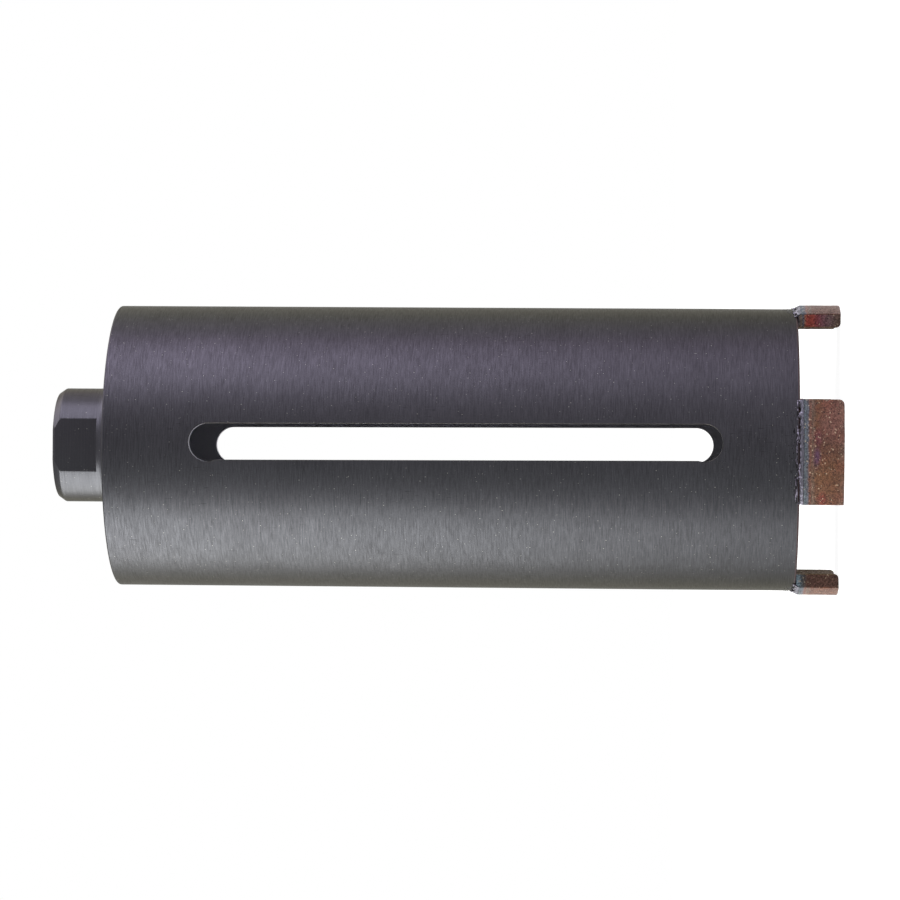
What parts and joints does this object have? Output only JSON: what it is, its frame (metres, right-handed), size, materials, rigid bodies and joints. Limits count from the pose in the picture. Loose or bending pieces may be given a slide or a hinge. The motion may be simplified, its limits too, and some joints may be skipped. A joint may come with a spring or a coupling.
{
  "type": "diamond core bit",
  "caption": "Slotted steel tube with a threaded hub at one end and welded diamond segments at the other, for drilling round holes in masonry.",
  "frame": {"origin": "on the tube's axis, in the plane of the segments' tips", "axes": "+Z along the axis from the segments to the hub, -Y through the middle of the front slot's wall, +X to the right of it"},
  "size_m": [0.068, 0.068, 0.1836],
  "materials": {
    "barrel_steel": "black oxide with fine marks round the tube",
    "hub_steel": "turned, black oxide",
    "weld_metal": "laser weld, as solidified",
    "diamond_segment": "sintered bronze and diamond grit, heat tinted at the root"
  },
  "bodies": {
    "root": {"barrel": "barrel_steel", "hub": "hub_steel", "hub_weld": "weld_metal", "segment_1": "diamond_segment", "segment_2": "diamond_segment", "segment_3": "diamond_segment", "segment_4": "diamond_segment", "segment_weld_1": "weld_metal", "segment_weld_2": "weld_metal", "segment_weld_3": "weld_metal", "segment_weld_4": "weld_metal"}
  },
  "joints": []
}
